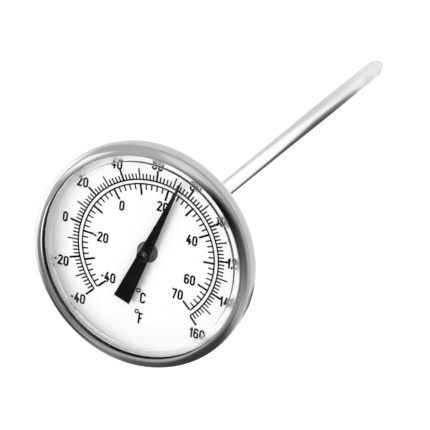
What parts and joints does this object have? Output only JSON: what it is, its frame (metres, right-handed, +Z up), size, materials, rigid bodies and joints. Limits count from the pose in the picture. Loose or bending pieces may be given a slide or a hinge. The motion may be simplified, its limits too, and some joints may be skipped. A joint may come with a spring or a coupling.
{
  "type": "dial soil thermometer",
  "caption": "Round steel dial head with a printed scale and a black pointer, on a thin pointed probe stem that is pushed into soil.",
  "frame": {"origin": "on the stem's axis, where the bare stem leaves the underside of the hex nut", "axes": "+Z up along the stem's axis towards the dial, +Y towards the middle of the scale (60 degrees F), +X to the right of the dial"},
  "size_m": [0.045, 0.045, 0.125],
  "materials": {
    "stem_steel": "drawn stainless tube, polished lengthways",
    "case_steel": "drawn stainless sheet, satin",
    "bezel_steel": "polished stainless sheet",
    "nut_steel": "turned and milled",
    "spring_steel": "cold rolled, plain",
    "bimetal": "rolled strip, plain",
    "brass": "turned",
    "dial_white": "matte white enamel",
    "pointer_black": "satin black paint, also the printed scale",
    "spacer_white": "plain moulded",
    "lens_clear": "clear polished moulding",
    "gasket_rubber": "plain",
    "seal_fibre": "pressed fibre"
  },
  "bodies": {
    "stem": {"stem_tube": "stem_steel", "stem_tip": "stem_steel", "stem_bush": "brass", "hex_nut": "nut_steel", "back_seal": "seal_fibre", "wave_washer": "spring_steel", "lower_guide": "brass", "upper_guide": "brass", "bimetal_coil": "bimetal"},
    "head": {"case_cup": "case_steel", "dial_plate": "dial_white", "spacer_ring": "spacer_white", "lens_gasket": "gasket_rubber", "lens": "lens_clear", "bezel_ring": "bezel_steel"},
    "pointer": {"spindle": "spring_steel", "coil_collar": "brass", "thrust_collar": "brass", "pointer_hub": "spring_steel", "pointer_blade": "pointer_black"}
  },
  "joints": [
    {"name": "pointer_sweep", "type": "hinge", "parent": "stem", "child": "pointer", "pos_m": [0, 0, 0.0127], "axis": [0, 0, -1], "range_deg": [-154.6, 118.1], "stiffness_Nm_per_rad": 0.0009, "deforming": ["bimetal_coil"]},
    {"name": "calibration_turn", "type": "hinge", "parent": "stem", "child": "head", "pos_m": [0, 0, 0.0048], "axis": [0, 0, 1], "continuous": true}
  ]
}
